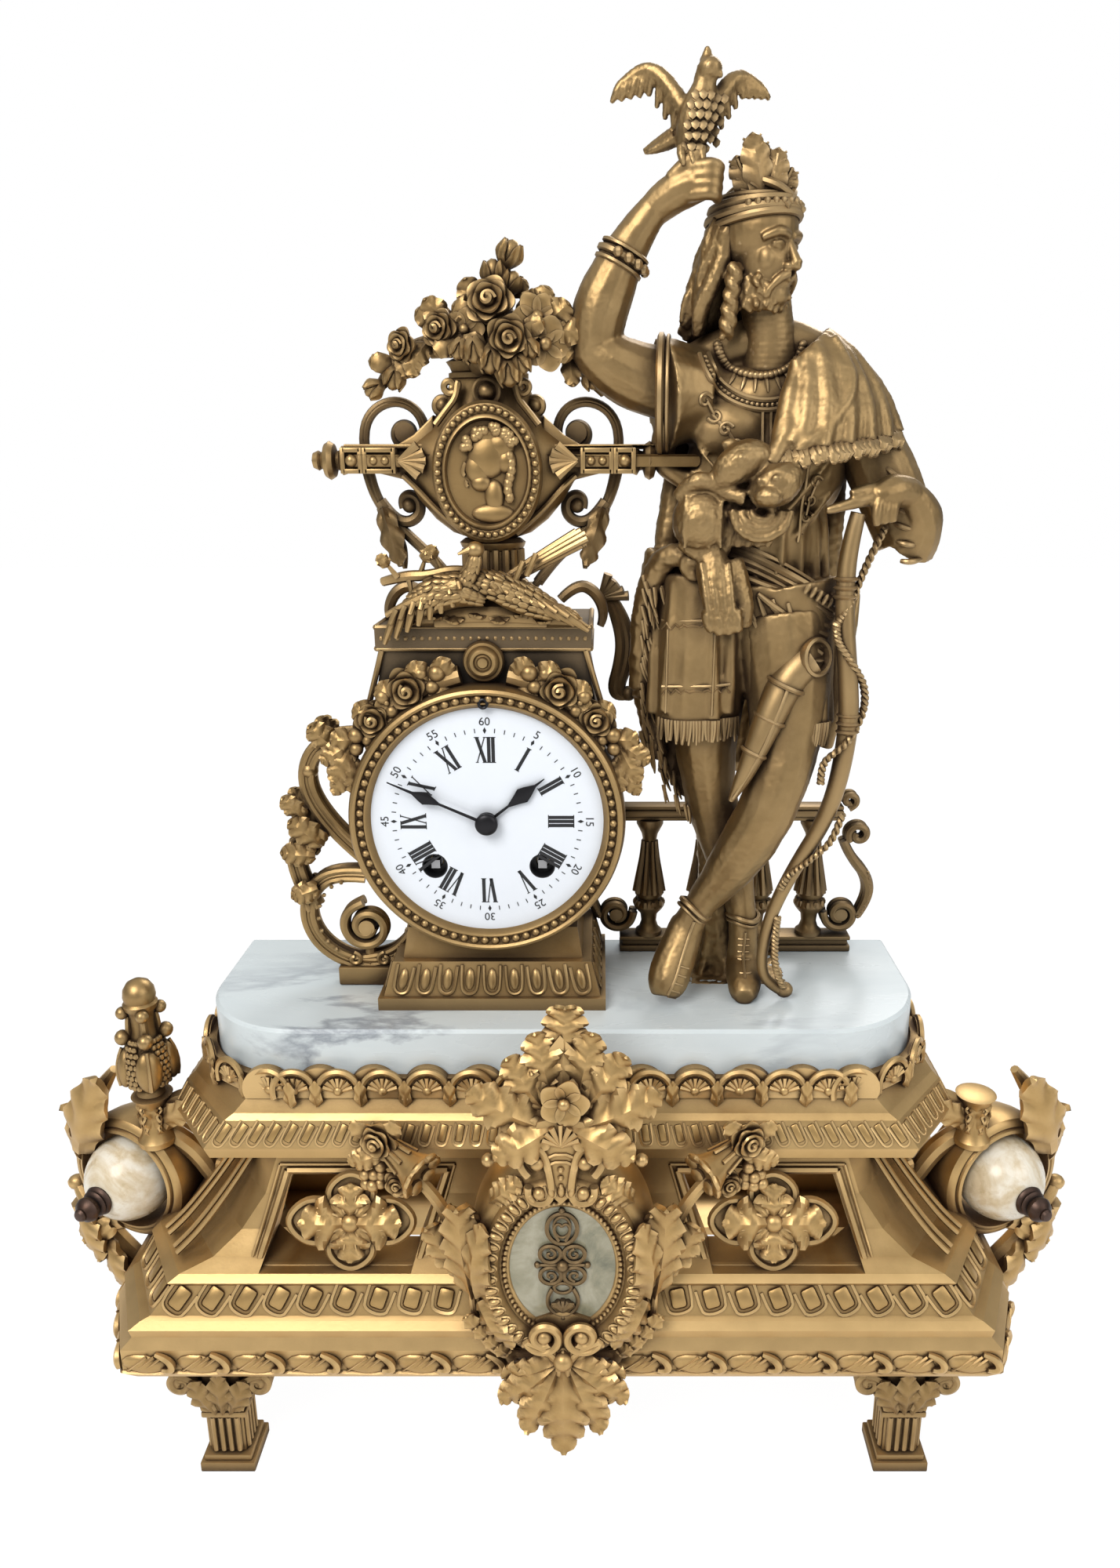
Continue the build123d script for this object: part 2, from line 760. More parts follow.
def pendulum_slot(low, high):
    """Room for the pendulum's swing between two heights."""
    pivot_z = clock_z + anchor_up
    half = (pivot_z - low) * math.tan(math.radians(swing)) + rod_radius + 2 * rod_radius
    y = -pendulum_level
    return block(clock_x - half, clock_x + half, y - slot_depth / 2, y + slot_depth / 2, low, high)


def make_base_casting():
    """Hollow base with stepped mouldings, two pierced windows and an open back."""
    sections = [
        Pos(0, 0, foot_height + casting_height * z_share) * polygon(base_plan(share, 0))
        for z_share, share in casting_level_shares
    ]
    body = loft(sections, ruled=True)
    floor = foot_height + casting_flange
    waist = foot_height + casting_height * 0.33
    body -= plan_solid(lower_cavity_share, casting_wall, floor, waist)
    body -= plan_solid(upper_cavity_share, casting_wall, floor, casting_top - casting_top_plate)
    body -= plan_solid(0, flange_width, foot_height - overrun, floor + overrun)
    body -= block(
        -rear_window_half, rear_window_half, half_depth - casting_wall - overrun, half_depth + overrun,
        rear_window_low, rear_window_high,
    )
    for side in (-1, 1):
        window = [
            (side * window_inner_low, window_low), (side * window_outer_low, window_low),
            (side * window_outer_high, window_high), (side * window_inner_high, window_high),
        ]
        body -= front_plate_shape(window, 0, -rim_front - overrun)
    body -= tie_holes(tie_radius + stud_clearance, casting_top - casting_top_plate - overrun,
                      casting_top + overrun)
    body -= pendulum_slot(casting_top - casting_top_plate - overrun, casting_top + overrun)
    for x, y in foot_places:
        body -= rod((x, y, foot_height - overrun), (x, y, floor + overrun), stud_radius + stud_clearance)
    return body


foot_places = [(x, y) for y in (foot_front_y, foot_rear_y) for x in (-foot_x, foot_x)]


def make_rosette(side, casting):
    """Four-lobed rosette that fills the middle of a window."""
    lobe = rosette_lobe_radius
    reach_x = rosette_half_width - lobe
    reach_z = rosette_half_height - lobe
    upright = (Align.CENTER, Align.CENTER, Align.MIN)
    plate = [Pos(0, 0, 0) * Cylinder(lobe + rosette_leaf_rise, rosette_plate, align=upright)]
    for dx, dz in ((reach_x, 0), (-reach_x, 0), (0, reach_z), (0, -reach_z)):
        plate.append(Pos(dx, dz, 0) * Cylinder(lobe, rosette_plate, align=upright))
    leaf = rosette_plate + rosette_leaf_rise
    plate.append(Box(2 * reach_x, lobe, leaf, align=upright))
    plate.append(Box(lobe, 2 * reach_z, leaf, align=upright))
    plate.append(Pos(0, 0, leaf) * Sphere(rosette_boss_radius))
    flower = Rot(90 - rosette_tilt, 0, 0) * fused(plate)
    return Pos(side * rosette_x, rosette_y, rosette_z) * flower - casting


def slab_plan(grow):
    """Outline of the slab with its rounded front corners, grown by a margin."""
    half = slab_half_width + grow
    front = -slab_front - grow
    corner = slab_corner + grow
    outline = Polyline(
        (-half + corner, front), (half - corner, front)
    ) + [
        RadiusArc((half - corner, front), (half, front + corner), -corner),
        Polyline((half, front + corner), (half, slab_back), (-half, slab_back), (-half, front + corner)),
        RadiusArc((-half, front + corner), (-half + corner, front), -corner),
    ]
    return make_face(outline)


def make_slab():
    """Marble slab with holes for the tie rods and a slot for the pendulum."""
    low = slab_top - slab_thickness
    slab = extrude(Pos(0, 0, low) * slab_plan(0), slab_thickness)
    top = slab.faces().sort_by(Axis.Z)[-1]
    slab = chamfer(top.edges(), slab_chamfer)
    slab -= pendulum_slot(low - overrun, slab_top + overrun)
    return slab - tie_holes(tie_radius + stud_clearance, low - overrun, slab_top + overrun)


def make_gallery():
    """Scalloped strip that carries the slab and stands up round its front and ends."""
    seat = extrude(Pos(0, 0, casting_top) * slab_plan(gallery_lip), slab_ledge)
    seat -= extrude(Pos(0, 0, casting_top - overrun) * slab_plan(-gallery_seat), slab_ledge + 2 * overrun)
    wall_low = casting_top + slab_ledge
    wall = extrude(Pos(0, 0, wall_low) * slab_plan(gallery_lip), gallery_wall_height)
    wall -= extrude(Pos(0, 0, wall_low - overrun) * slab_plan(gallery_lip - gallery_wall), 3 * overrun)
    ring = seat + wall
    front = -slab_front - gallery_lip
    back = front + gallery_wall
    scallops = []
    for index in range(scallop_count):
        x = (index - (scallop_count - 1) / 2) * scallop_pitch
        z = wall_low - scallop_drop
        scallops.append(rod((x, front, z), (x, back, z), scallop_radius))
    under = block(-rim_half_end, rim_half_end, front - overrun, back + overrun, foot_height, casting_top)
    ring = ring + (fused(scallops) - under)
    return ring - block(-rim_half_end, rim_half_end, slab_back, half_depth + overrun, casting_top, slab_top)


def make_cartouche(casting, gallery, slab):
    """Oval frame with its crest leaf above and its pendant leaf below."""
    def oval(half_width, half_height, back, front):
        face = Plane.XZ * Pos(cartouche_x, cartouche_z) * Ellipse(half_width, half_height)
        return Pos(0, -back, 0) * extrude(face, front - back)

    body = oval(oval_half_width, oval_half_height, oval_back, oval_body_front)
    body += oval(oval_rim_half_width, oval_rim_half_height, oval_back, half_depth)
    inner_width = plaque_half_width
    inner_height = plaque_half_height
    body -= oval(inner_width, inner_height, oval_body_front - plaque_thickness, half_depth + overrun)
    body -= oval(
        inner_width + plaque_rebate, inner_height + plaque_rebate,
        oval_body_front - plaque_thickness, oval_body_front,
    )
    outline = mirrored_outline(crest_outline_shares, crest_half_width, crest_height, cartouche_x, 0)
    crest = front_plate_shape(outline, 0, -crest_thickness)
    crest = Pos(0, -crest_front + crest_thickness, crest_foot_z) * Rot(-crest_tilt, 0, 0) * crest
    outline = mirrored_outline(pendant_outline_shares, pendant_half_width, -pendant_height, cartouche_x,
                               pendant_top_z)
    pendant = front_plate_shape(outline, -pendant_front + pendant_thickness, -pendant_front)
    rim_void = oval(inner_width, inner_height, oval_back, half_depth + overrun)
    return body + (crest + pendant - rim_void) - casting - gallery - slab


def make_plaque():
    """Oval stone plaque held in the cartouche's rebate."""
    face = Plane.XZ * Pos(cartouche_x, cartouche_z) * Ellipse(
        plaque_half_width + plaque_rebate, plaque_half_height + plaque_rebate)
    return Pos(0, -oval_body_front + plaque_thickness, 0) * extrude(face, plaque_thickness)


def make_filigree():
    """Openwork of wire rings laid on the plaque."""
    front = -oval_body_front
    wire = []
    for x_share, z_share, size_share in filigree_ring_shares:
        centre = Pos(
            cartouche_x + filigree_half_width * x_share, front, cartouche_z + filigree_half_height * z_share)
        radius = filigree_half_width * size_share
        ring = Circle(radius + filigree_wire / 2) - Circle(radius - filigree_wire / 2)
        wire.append(centre * extrude(Plane.XZ * ring, filigree_rise))
    stem = filigree_wire / 2
    wire.append(block(
        cartouche_x - stem, cartouche_x + stem, front - filigree_rise, front,
        cartouche_z - filigree_half_height * 0.5, cartouche_z + filigree_half_height * 0.5))
    return fused(wire)


def make_spray(side, *neighbours):
    """Leafy stem with buds and a trumpet flower."""
    def place(a, b):
        return (
            cartouche_x + side * (spray_root_x + spray_reach_x * a), -spray_front, spray_root_z + spray_rise * b)

    stem = limb([place(a, b) for a, b, _ in spray_stem_shares],
                [spray_bud_radius * c for _, _, c in spray_stem_shares])
    buds = [Pos(*place(a, b)) * Sphere(spray_bud_radius * c) for a, b, c in spray_bud_shares]
    mouth = place(0.30, 0.62)
    trumpet = rod(mouth, (mouth[0], mouth[1] - spray_trumpet_length / 2, mouth[2] - spray_trumpet_length / 2),
                  spray_bud_radius / 2, spray_trumpet_radius)
    spray = fused([stem, trumpet] + buds)
    for neighbour in neighbours:
        spray -= neighbour
    return largest(spray)


def largest(shape):
    """The biggest solid of a shape, without the crumbs that a cut can leave."""
    return Part() + max(shape.solids(), key=lambda solid: solid.volume)


# End brackets, made for the right-hand end in a frame with x outward, y up and z forward

def bracket_frame(side, shape):
    """Turns a bracket shape to its end of the base."""
    turned_shape = Pos(bracket_x, bracket_y, bracket_z) * Rot(0, 0, bracket_turn) * Rot(90, 0, 0) * shape
    return turned_shape if side > 0 else mirror(turned_shape, Plane.YZ)


def ring_back():
    """Level of the cup's floor behind the ball."""
    return ball_forward - ball_radius


def make_bracket(side, *neighbours):
    """Ring with a cup behind, leaves above and below, a scroll to the base and a calyx for a finial."""
    cup = disc(ring_outer, ring_back() - cup_floor, ring_front) - disc(ring_inner, ring_back(), ring_front + overrun)
    cup -= disc(ball_hole, ring_back() - 2 * cup_floor, ring_front)
    half = bracket_leaf_thickness / 2
    pieces = [cup]
    upper = [(ring_outer * a, bracket_rise * b) for a, b in upper_leaf_shares]
    lower = [(bracket_leaf_reach * a, bracket_drop * b) for a, b in lower_leaf_shares]
    for outline in (upper, lower):
        leaf = Pos(0, 0, -half) * extrude(polygon(outline), bracket_leaf_thickness)
        pieces.append(leaf - disc(ring_inner, -ball_radius, ball_radius))
    for shares in (scroll_arm_shares, cornice_arm_shares):
        points = [(bracket_leaf_reach * a, bracket_rise * b, 0) for a, b in shares]
        pieces.append(limb(points, [bracket_arm] * len(points)))
    calyx = (-calyx_offset, calyx_low, 0)
    waist = (-calyx_offset, (calyx_low + calyx_top) / 2, 0)
    pieces.append(rod(calyx, waist, calyx_radius, calyx_waist))
    pieces.append(rod(waist, (-calyx_offset, calyx_top, 0), calyx_waist, calyx_radius))
    shape = fused(pieces) - disc(ring_inner, ring_back(), ring_front + overrun)
    shape = bracket_frame(side, shape)
    for neighbour in neighbours:
        shape -= neighbour
    return largest(shape)


def make_ball(side):
    """Stone ball bored for its finial's rod."""
    ball = Pos(0, 0, ball_forward) * Sphere(ball_radius) - disc(ball_hole, -2 * ball_radius, 2 * ball_radius)
    return bracket_frame(side, ball)


def make_ball_finial(side):
    """Turned finial with the rod and nut that hold the ball in its cup."""
    nose = ball_forward + ball_radius
    profile = [
        (0, nose), (finial_neck, nose), (finial_neck, nose + finial_length * 0.2),
        (finial_bulb, nose + finial_length * 0.4), (finial_bulb * 0.85, nose + finial_length * 0.62),
        (finial_neck * 0.5, nose + finial_length * 0.85), (0, nose + finial_length),
    ]
    head = turned(profile)
    back = ring_back() - cup_floor
    shaft = disc(ball_hole - stud_clearance / 2, back - finial_nut_height, nose + finial_neck)
    nut = disc(finial_nut, back - finial_nut_height, back)
    return bracket_frame(side, head + shaft + nut)


def make_torch():
    """Turned torch finial that stands in the left bracket's calyx."""
    torch = turned(share_profile(torch_profile_shares, torch_radius, torch_height))
    return bracket_frame(-1, Pos(-calyx_offset, calyx_top, 0) * Rot(-90, 0, 0) * torch)


# Clock case

def drum_cylinder(radius):
    """Solid cylinder of the drum in world place, long enough for every cut."""
    return clock_frame(disc(radius, drum_back - overrun, drum_front + 3 * overrun))


def make_plinth():
    """Moulded plinth with a saddle for the drum and a passage for the pendulum."""
    def ring(inset, z):
        front = -plinth_front + inset
        back = plinth_back - inset / 2
        face = Rectangle(2 * (plinth_half_width - inset), back - front)
        return Pos(clock_x, (front + back) / 2, z) * face

    low = slab_top
    body = extrude(ring(0, low), plinth_slab)
    band = loft([ring(plinth_step, low + plinth_slab), ring(plinth_band_inset, low + plinth_slab + plinth_band)],
                ruled=True)
    neck_low = low + plinth_slab + plinth_band
    neck = loft([ring(plinth_neck_inset, neck_low), ring(plinth_neck_inset + plinth_step, low + plinth_top)], ruled=True)
    body = body + band + neck - drum_cylinder(drum_outer)
    hollow = block(
        clock_x - plinth_half_width + 2 * plinth_neck_inset, clock_x + plinth_half_width - 2 * plinth_neck_inset,
        -pendulum_level - slot_depth, -pendulum_level + slot_depth, low - overrun, low + plinth_top + overrun)
    body -= hollow
    return body - tie_holes(tie_radius, low - overrun, low + tie_overlap)


def make_drum():
    """Drum with the shoulders and cap that carry the urn, and the ears of the door's hinge."""
    outline = [
        (-shoulder_half_low, shoulder_low), (shoulder_half_low - overrun, shoulder_low),
        (shoulder_half_top, shoulder_top), (-shoulder_half_top, shoulder_top),
    ]
    outline[0] = (-shoulder_half_low + overrun, shoulder_low)
    body = disc(drum_outer, drum_back, drum_front)
    body += Pos(0, 0, drum_back) * extrude(polygon(outline), drum_front - drum_back)
    cap_centre = shoulder_top + cap_height / 2
    depth = drum_front - drum_back + 2 * cap_overhang
    body += Pos(0, cap_centre, (drum_front + drum_back) / 2) * Box(2 * cap_half, cap_height, depth)
    bore = disc(drum_inner, drum_back - overrun, drum_front + overrun)
    pin_level = hinge_level()
    ear_low = hinge_knuckle + loose_gap
    for side in (-1, 1):
        centre_y = side * (ear_low + hinge_ear / 2)
        ear = Pos(-hinge_offset, centre_y, pin_level) * Rot(90, 0, 0) * Cylinder(hinge_radius, hinge_ear)
        arm_length = hinge_offset - door_radius - 2 * loose_gap
        arm = Pos(-hinge_offset + arm_length / 2, centre_y, pin_level + hinge_radius) * Box(
            arm_length, hinge_ear, 2 * hinge_radius)
        body += ear + arm
    body -= bore
    span = 2 * (ear_low + hinge_ear)
    pin = Pos(-hinge_offset, 0, pin_level) * Rot(90, 0, 0) * Cylinder(hinge_pin, span)
    body += pin
    drum = clock_frame(body)
    return drum - pendulum_slot(slab_top, clock_z - drum_inner / 2)


def hinge_level():
    """Level of the door's hinge pin behind the drum's mouth."""
    return drum_back - door_thickness


def make_door():
    """Round back door with a sounding ring, a knob and a hinge knuckle."""
    high = drum_back - loose_gap
    low = high - door_thickness
    plate = disc(door_radius, low, high)
    holes = []
    for index in range(door_ring_holes):
        x, y = polar(door_ring_hole, index * 360.0 / door_ring_holes)
        holes.append(disc(door_knob_radius, low - overrun, high + overrun, x, y))
    plate -= fused(holes)
    plate += disc(door_knob_radius, low - door_knob_height, low, door_radius * 0.8, 0)
    plate = plate - block(-door_slot_half, door_slot_half, -door_radius - overrun, -door_radius * 0.86,
                          low - overrun, high + overrun)
    level = hinge_level()
    knuckle = Pos(-hinge_offset, 0, level) * Rot(90, 0, 0) * Cylinder(hinge_radius, 2 * hinge_knuckle)
    strap_length = hinge_offset - door_radius * 0.9
    strap = Pos(-hinge_offset + strap_length / 2, 0, low + door_thickness / 2) * Box(
        strap_length, 2 * hinge_knuckle, door_thickness)
    bore = Pos(-hinge_offset, 0, level) * Rot(90, 0, 0) * Cylinder(hinge_pin + running_gap, 3 * hinge_knuckle)
    return clock_frame(plate + knuckle + strap - bore)


def make_bezel():
    """Moulded ring round the dial with a groove of beads and the hole of the regulator."""
    low = drum_front
    profile = [
        (bezel_rebate, low), (bezel_outer, low), (bezel_outer, bezel_front * 0.55),
        (bezel_outer * 0.985, bezel_front), (bezel_outer * 0.955, bezel_front * 0.9),
        (bezel_groove, bezel_front * 0.78), (bezel_bore + bezel_seat, bezel_front * 0.86),
        (bezel_bore, bezel_front * 0.8), (bezel_bore, dial_front), (bezel_rebate, dial_front),
    ]
    ring = turned(profile)
    beads = []
    count = int(2 * math.pi * bezel_groove / (2 * bezel_groove_radius))
    for index in range(count):
        x, y = polar(bezel_groove, 90 + (index + 0.5) * 360 / count)
        beads.append(Pos(x, y, bezel_front * 0.78) * Sphere(bezel_groove_radius * 0.9))
    ring = ring + beads
    return clock_frame(ring - disc(regulator_hole, low - overrun, bezel_front + overrun, 0, regulator_up))


def make_dial():
    """Enamel disc with its centre and winding holes and three feet to the front plate."""
    low = dial_front - dial_thickness
    plate = disc(dial_radius, low, dial_front)
    plate -= disc(dial_centre_hole, low - overrun, dial_front + overrun)
    for side in (-1, 1):
        plate -= disc(winding_hole, low - overrun, dial_front + overrun, side * winding_x, -winding_down)
    for angle in (90.0, 210.0, 330.0):
        x, y = polar(dial_foot_circle, angle)
        plate += disc(dial_foot_radius, front_plate_front, low, x, y)
    return clock_frame(plate)


def make_garland():
    """Relief mount over the bezel: a shaped plate with four roses and a turned rosette."""
    outline = mirrored_outline(garland_outline_shares, garland_half_width, garland_top, 0, 0)
    high = garland_back + garland_thickness
    plate = Pos(0, 0, garland_back) * extrude(polygon(outline), garland_thickness)
    plate -= disc(bezel_outer + garland_gap, garland_back - overrun, high + overrun)
    pieces = [plate]
    for a, b in garland_rose_shares:
        rose = Pos(garland_half_width * a, garland_top * b, high) * Sphere(garland_rose_radius)
        pieces.append(rose - disc(bezel_outer + garland_gap, -2 * bezel_outer, 2 * bezel_outer)
                      - Pos(0, 0, garland_back - bezel_outer) * Box(4 * bezel_outer, 4 * bezel_outer, 2 * bezel_outer))
    top = bezel_outer + garland_gap + garland_rosette_radius
    pieces.append(disc(garland_rosette_radius, garland_back, high + 2 * garland_gap, 0, top))
    return clock_frame(fused(pieces))


# Movement

def toothed(teeth, module, face, shares, low, phase=0.0):
    """Spur wheel whose first tooth points at the phase angle, between two levels."""
    addendum, dedendum, root, pitch, tip = shares
    radius = teeth * module / 2
    step = 360.0 / teeth
    rows = (
        (radius - dedendum * module, -root), (radius, -pitch), (radius + addendum * module, -tip),
        (radius + addendum * module, tip), (radius, pitch), (radius - dedendum * module, root),
    )
    points = [polar(r, phase + (index + w) * step) for index in range(teeth) for r, w in rows]
    return Pos(0, 0, low) * extrude(polygon(points), face)


def crossed_out(teeth, module, face, low, phase):
    """Wheel with its web cut away between the spokes."""
    wheel = toothed(teeth, module, face, wheel_tooth_shares, low, phase)
    outer = teeth * module / 2 - 3 * module
    inner = 3 * arbor_radius
    ring = disc(outer, low - face, low + 2 * face) - disc(inner, low - 2 * face, low + 3 * face)
    for index in range(spoke_count):
        spoke = Rot(0, 0, index * 360 / spoke_count) * Pos(outer / 2, 0, low + face / 2) * Box(
            outer + 2 * inner, 2 * arbor_radius, 4 * face)
        ring -= spoke
    return wheel - ring


def arbor(front, back):
    """Arbor with a thin pivot in each plate."""
    return disc(arbor_radius, back, front) + disc(
        pivot_radius, back - plate_thickness, front + plate_thickness)


def meet(first, first_reach, second, second_reach):
    """The place at both distances from two centres, on the left of the line from first to second."""
    dx, dy = second[0] - first[0], second[1] - first[1]
    span = math.hypot(dx, dy)
    along = (first_reach ** 2 - second_reach ** 2 + span ** 2) / (2 * span)
    across = math.sqrt(first_reach ** 2 - along ** 2)
    return (first[0] + (along * dx - across * dy) / span, first[1] + (along * dy + across * dx) / span)


barrel_place = (winding_x, -winding_down)
strike_place = (-winding_x, -winding_down)
barrel_reach = barrel_module * (barrel_teeth + second_pinion_teeth) / 2
second_reach_in = second_module * (second_teeth + centre_pinion_teeth) / 2
second_place = meet((0, 0), second_reach_in, barrel_place, barrel_reach)
third_reach = centre_module * (centre_teeth + third_pinion_teeth) / 2
third_place = polar(third_reach, third_arbor_angle)
minute_reach = motion_module * (cannon_teeth + minute_teeth) / 2
minute_place = polar(minute_reach, minute_arbor_angle)
arbor_front = front_plate_front - plate_thickness - loose_gap
arbor_back = back_plate_front + loose_gap


def heading(start, end):
    """Angle in degrees from one place to another."""
    return math.degrees(math.atan2(end[1] - start[1], end[0] - start[0]))


def gap_phase(angle, teeth):
    """Phase that turns a gap between teeth to an angle."""
    return angle + 180.0 / teeth


def make_centre_arbor():
    """Centre arbor with its pinion and wheel, and the cannon tube that carries the minute hand."""
    to_second = heading((0, 0), second_place)
    pinion = toothed(centre_pinion_teeth, second_module, pinion_face, pinion_tooth_shares,
                     second_wheel_level - (pinion_face - wheel_face) / 2, to_second)
    wheel = crossed_out(centre_teeth, centre_module, wheel_face, centre_wheel_level, third_arbor_angle)
    cannon = toothed(cannon_teeth, motion_module, wheel_face, pinion_tooth_shares, cannon_level,
                     gap_phase(minute_arbor_angle, cannon_teeth))
    tube = disc(cannon_radius, cannon_level, minute_hand_level + hand_thickness)
    shaft = disc(arbor_radius, arbor_back, minute_hand_level + hand_thickness + collet_height / 2)
    shaft += disc(pivot_radius, arbor_back - plate_thickness, arbor_back)
    return clock_frame(fused([pinion, wheel, cannon, tube, shaft]))


def make_second_wheel():
    """Intermediate wheel between the going barrel and the centre arbor."""
    x, y = second_place
    to_centre = heading(second_place, (0, 0))
    to_barrel = heading(second_place, barrel_place)
    wheel = crossed_out(second_teeth, second_module, wheel_face, second_wheel_level,
                        gap_phase(to_centre, second_teeth))
    pinion = toothed(second_pinion_teeth, barrel_module, pinion_face, pinion_tooth_shares,
                     barrel_front - (pinion_face + wheel_face) / 2, to_barrel)
    return clock_frame(Pos(x, y, 0) * fused([wheel, pinion, arbor(arbor_front, arbor_back)]))


def make_third_wheel():
    """Third wheel, driven by the centre wheel."""
    x, y = third_place
    pinion = toothed(third_pinion_teeth, centre_module, pinion_face, pinion_tooth_shares,
                     centre_wheel_level - (pinion_face - wheel_face) / 2 + loose_gap,
                     gap_phase(third_arbor_angle + 180, third_pinion_teeth))
    wheel = crossed_out(third_teeth, third_module, wheel_face, third_wheel_level, 0)
    return clock_frame(Pos(x, y, 0) * fused([pinion, wheel, arbor(arbor_front, arbor_back)]))


def make_escape_wheel():
    """Escape wheel with pointed teeth."""
    step = 360.0 / escape_teeth
    points = []
    for index in range(escape_teeth):
        points.append(polar(escape_radius, (index + 0.5) * step))
        points.append(polar(escape_radius * escape_root_share, (index + 0.62) * step))
        points.append(polar(escape_radius * escape_root_share, (index + 1.25) * step))
    wheel = Pos(0, 0, escape_wheel_level) * extrude(polygon(points), escape_face)
    hub = disc(2 * arbor_radius, escape_wheel_level - escape_face, escape_wheel_level + 2 * escape_face)
    return clock_frame(Pos(0, escape_up, 0) * fused([wheel, hub, arbor(arbor_front, arbor_back)]))


def make_barrel(place, toothed_at):
    """Spring barrel with its great wheel; the other place sets where a tooth points."""
    great = toothed(barrel_teeth, barrel_module, wheel_face, wheel_tooth_shares,
                    barrel_front - wheel_face, gap_phase(toothed_at, barrel_teeth))
    drum = disc(barrel_radius, barrel_front - barrel_length, barrel_front)
    inside = disc(barrel_radius - wheel_face, barrel_front - barrel_length + wheel_face,
                  barrel_front - 2 * wheel_face)
    bore = disc(winding_radius + running_gap, barrel_front - barrel_length - overrun, barrel_front + overrun)
    return clock_frame(Pos(*place, 0) * (great + drum - inside - bore))


def make_winding_arbor(place):
    """Barrel arbor with the square that the key fits, standing behind the dial's hole."""
    x, y = place
    shaft = disc(winding_radius, arbor_back, front_plate_front + plate_thickness)
    shaft += disc(pivot_radius * 2, arbor_back - plate_thickness, arbor_back)
    square_low = front_plate_front + plate_thickness
    length = winding_reach - square_low
    shaft += Pos(0, 0, square_low + length / 2) * Box(winding_square, winding_square, length)
    return clock_frame(Pos(x, y, 0) * shaft)


def make_minute_wheel():
    """Motion wheel with the pinion that turns the hour wheel."""
    x, y = minute_place
    back = minute_arbor_angle + 180
    wheel = toothed(minute_teeth, motion_module, wheel_face, wheel_tooth_shares, cannon_level, back)
    pinion = toothed(minute_pinion_teeth, hour_module, wheel_face + loose_gap, pinion_tooth_shares,
                     minute_pinion_level, back)
    sleeve = disc(minute_sleeve_radius, cannon_level, minute_pinion_level + wheel_face + loose_gap)
    bore = disc(pivot_radius + running_gap, cannon_level - overrun, minute_pinion_level + overrun)
    return clock_frame(Pos(x, y, 0) * (fused([wheel, pinion, sleeve]) - bore))


def make_hour_wheel():
    """Hour wheel with the pipe that carries the hour hand."""
    wheel = toothed(hour_teeth, hour_module, wheel_face, wheel_tooth_shares, minute_pinion_level + loose_gap / 2,
                    gap_phase(minute_arbor_angle, hour_teeth))
    pipe = disc(hour_pipe_radius, minute_pinion_level + loose_gap / 2, hour_hand_level + hand_thickness)
    bore = disc(cannon_radius + running_gap, minute_pinion_level - overrun, hour_hand_level + overrun)
    return clock_frame(wheel + pipe - bore)


def plate_disc(front):
    """Round movement plate with lugs to the drum's wall."""
    plate = disc(plate_radius, front - plate_thickness, front)
    reach = drum_inner - plate_lug_gap
    lugs = []
    for angle in plate_lug_angles:
        lug = Pos(reach / 2, 0, front - plate_thickness / 2) * Box(reach, plate_lug_width, plate_thickness)
        lugs.append(Rot(0, 0, angle) * lug)
    top = Pos(0, regulator_up / 2, front - plate_thickness / 2) * Box(
        3 * regulator_lug, regulator_up, plate_thickness)
    lugs.append(top)
    lugs.append(disc(regulator_lug / 2, front - plate_thickness, front, 0, regulator_up))
    plate = fused([plate] + lugs)
    return plate & disc(reach, front - plate_thickness, front)


def bores(front, places):
    """Holes through a plate: x, y and radius of each."""
    return [disc(radius, front - plate_thickness - overrun, front + overrun, x, y) for x, y, radius in places]


def pivot_places():
    """Pivot holes that both plates share."""
    pivot = pivot_radius + running_gap
    return [
        (*second_place, pivot), (*third_place, pivot), (0, escape_up, pivot), (0, anchor_up, pivot),
        (0, regulator_up, regulator_radius + running_gap),
    ]


def make_front_plate():
    """Front plate with the stud of the motion wheel."""
    plate = plate_disc(front_plate_front)
    holes = pivot_places() + [(0, 0, arbor_radius + running_gap)]
    holes += [(*place, winding_radius + running_gap) for place in (barrel_place, strike_place)]
    plate -= bores(front_plate_front, holes)
    stud = disc(pivot_radius, front_plate_front, minute_pinion_level + 2 * wheel_face, *minute_place)
    return clock_frame(plate + stud)


def make_back_plate():
    """Back plate with the cock that hangs the pendulum and the posts of the bell and the hammer."""
    plate = plate_disc(back_plate_front)
    holes = pivot_places() + [(0, 0, pivot_radius + running_gap)]
    holes += [(*place, 2 * pivot_radius + running_gap) for place in (barrel_place, strike_place)]
    plate -= bores(back_plate_front, holes)
    rear = back_plate_front - plate_thickness
    for side in (-1, 1):
        cheek_x = side * (cock_width / 2 + cock_width / 4)
        plate += Pos(cheek_x, anchor_up, (rear + cock_back) / 2) * Box(cock_width / 2, cock_width, rear - cock_back)
    plate += Pos(0, anchor_up, cock_back + plate_thickness / 4) * Box(
        2 * cock_width, cock_width, plate_thickness / 2)
    pin_front = pendulum_level + suspension_eye
    plate += disc(suspension_pin, cock_back, pin_front, 0, anchor_up)
    plate += disc(bell_post, bell_mouth - bell_depth + bell_wall, rear, bell_x, -bell_down)
    plate += disc(suspension_pin, hammer_level - hammer_head, rear, hammer_x, hammer_up)
    return clock_frame(plate)


def make_pillars():
    """Four turned pillars between the plates."""
    rear = back_plate_front
    front = front_plate_front - plate_thickness
    pillars = []
    for angle in pillar_angles:
        x, y = polar(pillar_circle, angle)
        pillars.append(disc(pillar_radius, rear, front, x, y))
        pillars.append(disc(pillar_foot, rear, rear + pillar_foot / 2, x, y))
        pillars.append(disc(pillar_foot, front - pillar_foot / 2, front, x, y))
    return clock_frame(fused(pillars))


